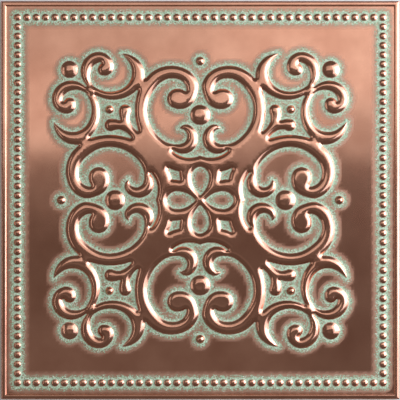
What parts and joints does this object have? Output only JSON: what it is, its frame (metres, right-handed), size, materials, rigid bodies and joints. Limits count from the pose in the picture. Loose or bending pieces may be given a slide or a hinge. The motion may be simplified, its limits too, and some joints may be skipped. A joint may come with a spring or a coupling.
{
  "type": "peel and stick metal tile",
  "caption": "Square peel and stick metal tile, pressed with a pearl border and scrollwork, aged copper finish, on an adhesive pad with a release liner.",
  "frame": {"origin": "middle of the tile, on the underside of its release liner", "axes": "+Z out of the decorated face, +X and +Y along the square's sides"},
  "size_m": [0.3048, 0.3048, 0.0041],
  "materials": {
    "copper_finish": "satin",
    "foam": "matte",
    "liner": "satin"
  },
  "bodies": {
    "root": {"metal_face": "copper_finish", "adhesive_pad": "foam", "release_liner": "liner"}
  },
  "joints": []
}
